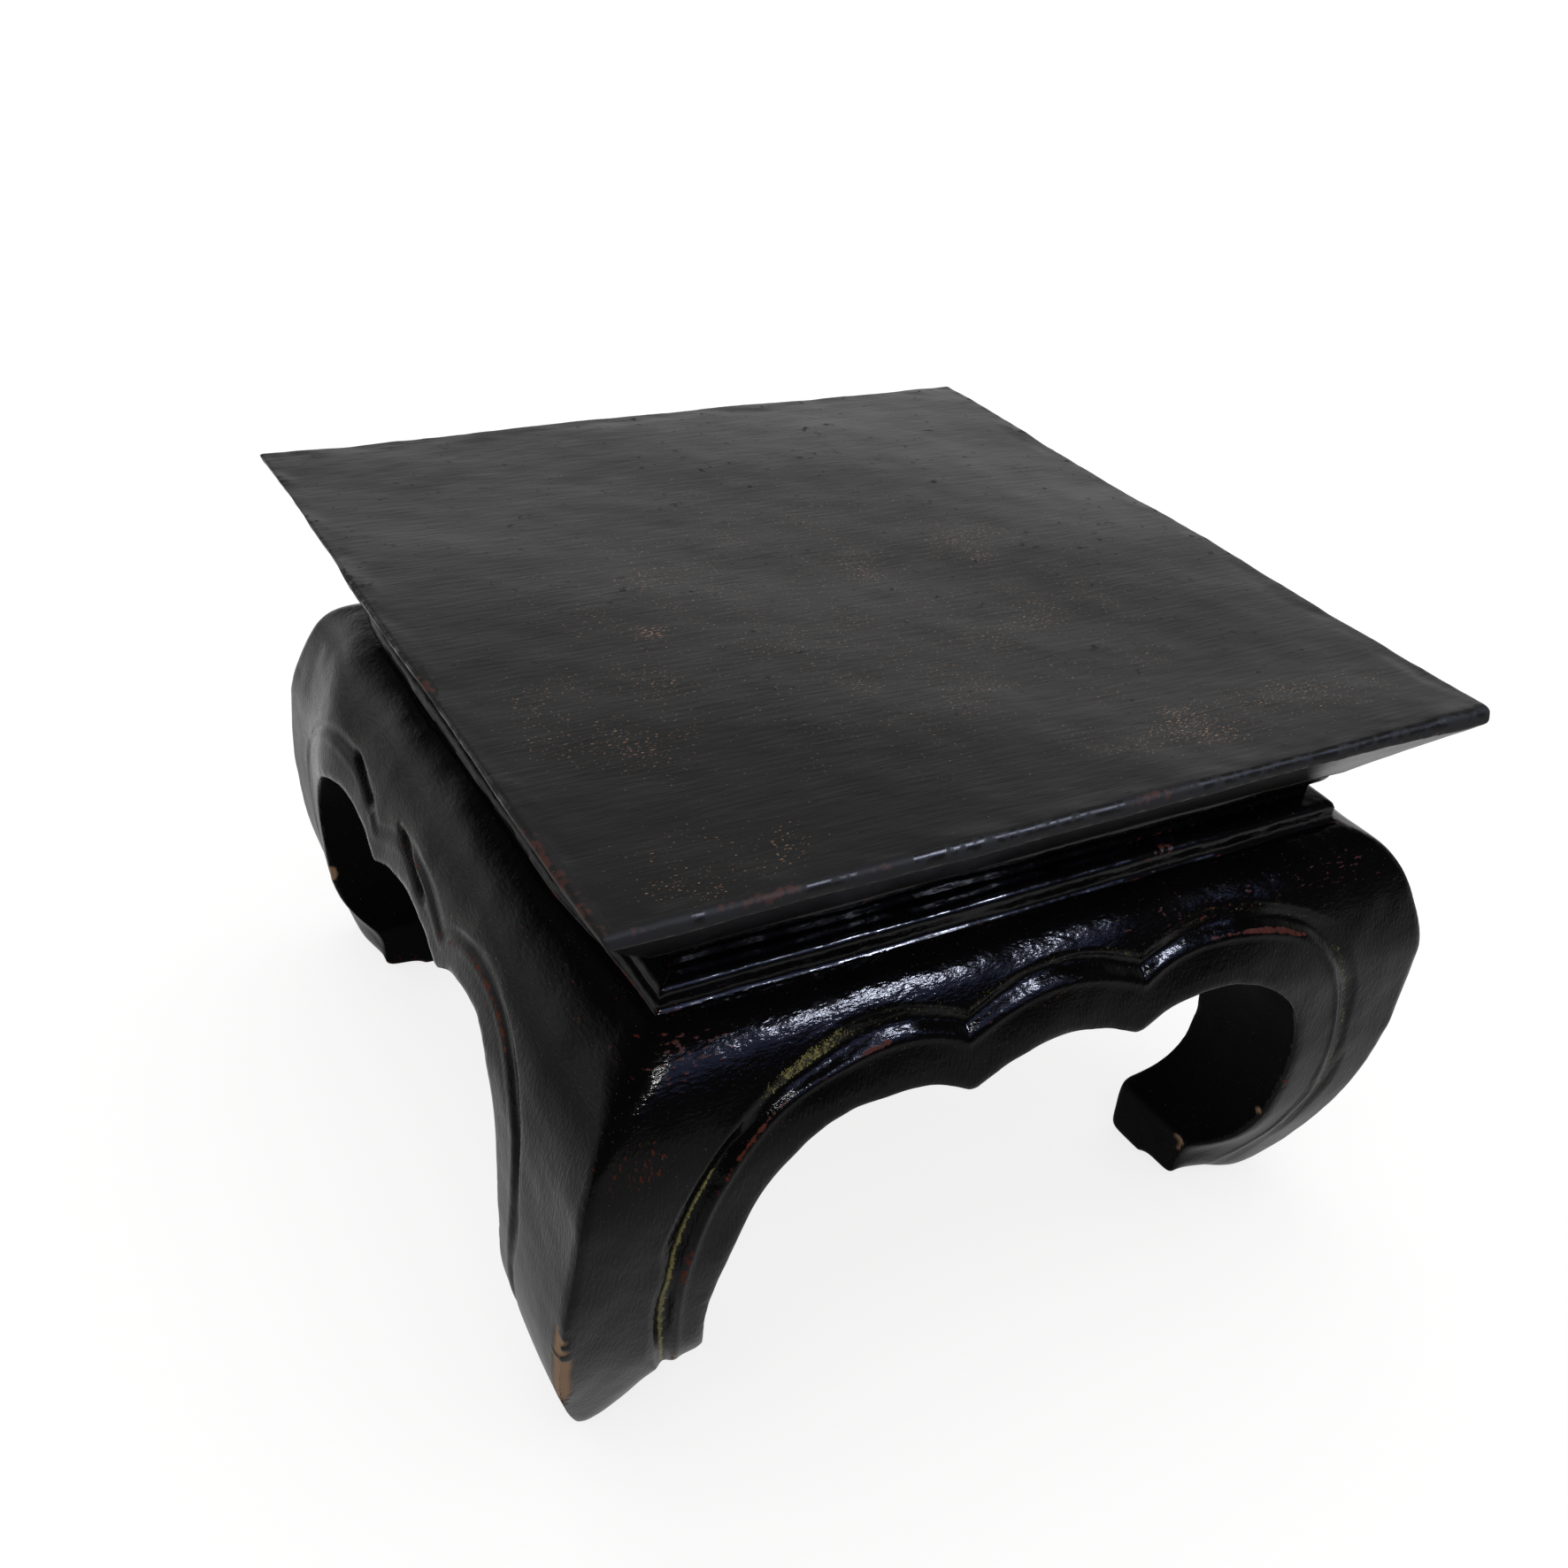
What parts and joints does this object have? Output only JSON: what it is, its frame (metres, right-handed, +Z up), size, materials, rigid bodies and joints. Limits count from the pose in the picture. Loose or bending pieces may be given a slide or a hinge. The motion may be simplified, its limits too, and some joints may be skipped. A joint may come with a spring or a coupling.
{
  "type": "vase stand",
  "caption": "Low square black-lacquered stand with a bevelled slab top, a narrow waist, bulging scalloped aprons and legs that curl inwards into square-cut hooks.",
  "frame": {"origin": "on the floor, under the middle of the stand", "axes": "+Z up, the front faces -Y, +X to the right as seen from the front"},
  "size_m": [0.329, 0.329, 0.22],
  "materials": {
    "top_lacquer": "satin black lacquer over a cloth ground, worn along the edges",
    "moulding_lacquer": "glossy black lacquer over a red-brown undercoat",
    "frame_lacquer": "glossy black lacquer, uneven and worn at the edges",
    "bare_wood": "plain planed wood, darkened by age",
    "bamboo": "split bamboo, unfinished"
  },
  "bodies": {
    "root": {"slab_front_board": "top_lacquer", "slab_back_board": "top_lacquer", "batten_left": "bare_wood", "batten_right": "bare_wood", "waist_strip_front": "moulding_lacquer", "waist_strip_right": "moulding_lacquer", "waist_strip_back": "moulding_lacquer", "waist_strip_left": "moulding_lacquer", "moulding_strip_front": "moulding_lacquer", "moulding_strip_right": "moulding_lacquer", "moulding_strip_back": "moulding_lacquer", "moulding_strip_left": "moulding_lacquer", "apron_front": "frame_lacquer", "apron_right": "frame_lacquer", "apron_back": "frame_lacquer", "apron_left": "frame_lacquer", "leg_front_right": "frame_lacquer", "leg_back_right": "frame_lacquer", "leg_back_left": "frame_lacquer", "leg_front_left": "frame_lacquer", "tenon_pegs": "bare_wood", "bamboo_pins": "bamboo"}
  },
  "joints": []
}
